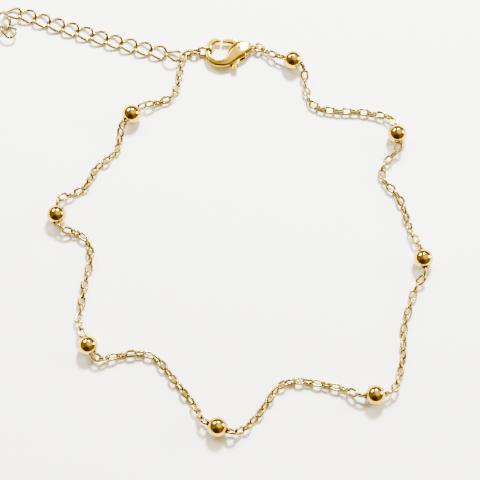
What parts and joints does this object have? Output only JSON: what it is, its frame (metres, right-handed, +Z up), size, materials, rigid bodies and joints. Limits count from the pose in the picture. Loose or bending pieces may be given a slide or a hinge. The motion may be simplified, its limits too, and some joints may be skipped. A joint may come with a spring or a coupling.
{
  "type": "chain anklet",
  "caption": "Fine cable-chain anklet in gold tone with round hollow beads, a lobster clasp and an extender chain, lying in an open loop.",
  "frame": {"origin": "bottom centre of the whole bounding box, on the plane the anklet lies on", "axes": "+Z up from that plane, +Y towards the clasp, +X from the extender towards the clasp's ring"},
  "size_m": [0.0904, 0.0934, 0.004],
  "materials": {
    "pale_gold_wire": "bright pale gold plate",
    "polished_gold_bead": "mirror-polished gold plate",
    "yellow_gold_clasp": "polished yellow gold plate"
  },
  "bodies": {
    "anklet": {"bead_1": "polished_gold_bead", "bead_2": "polished_gold_bead", "bead_3": "polished_gold_bead", "bead_4": "polished_gold_bead", "bead_5": "polished_gold_bead", "bead_6": "polished_gold_bead", "bead_7": "polished_gold_bead", "bead_8": "polished_gold_bead", "chain_1": "pale_gold_wire", "chain_2": "pale_gold_wire", "chain_3": "pale_gold_wire", "chain_4": "pale_gold_wire", "chain_5": "pale_gold_wire", "chain_6": "pale_gold_wire", "chain_7": "pale_gold_wire", "chain_8": "pale_gold_wire", "chain_9": "pale_gold_wire", "clasp_body": "yellow_gold_clasp", "clasp_pin": "pale_gold_wire", "clasp_ring": "pale_gold_wire", "end_link": "pale_gold_wire", "extender_link_01": "pale_gold_wire", "extender_link_02": "pale_gold_wire", "extender_link_03": "pale_gold_wire", "extender_link_04": "pale_gold_wire", "extender_link_05": "pale_gold_wire", "extender_link_06": "pale_gold_wire", "extender_link_07": "pale_gold_wire", "extender_link_08": "pale_gold_wire", "extender_link_09": "pale_gold_wire", "extender_link_10": "pale_gold_wire", "extender_link_11": "pale_gold_wire", "extender_link_12": "pale_gold_wire", "extender_link_13": "pale_gold_wire", "extender_link_14": "pale_gold_wire"},
    "lever": {"clasp_lever": "yellow_gold_clasp"}
  },
  "joints": [
    {"name": "lever_pivot", "type": "hinge", "parent": "anklet", "child": "lever", "pos_m": [0.00656, 0.03652, 0.00115], "axis": [0, 0, 1], "range_deg": [0, 25], "stiffness_Nm_per_rad": 0.008, "springref_deg": -11.46}
  ]
}
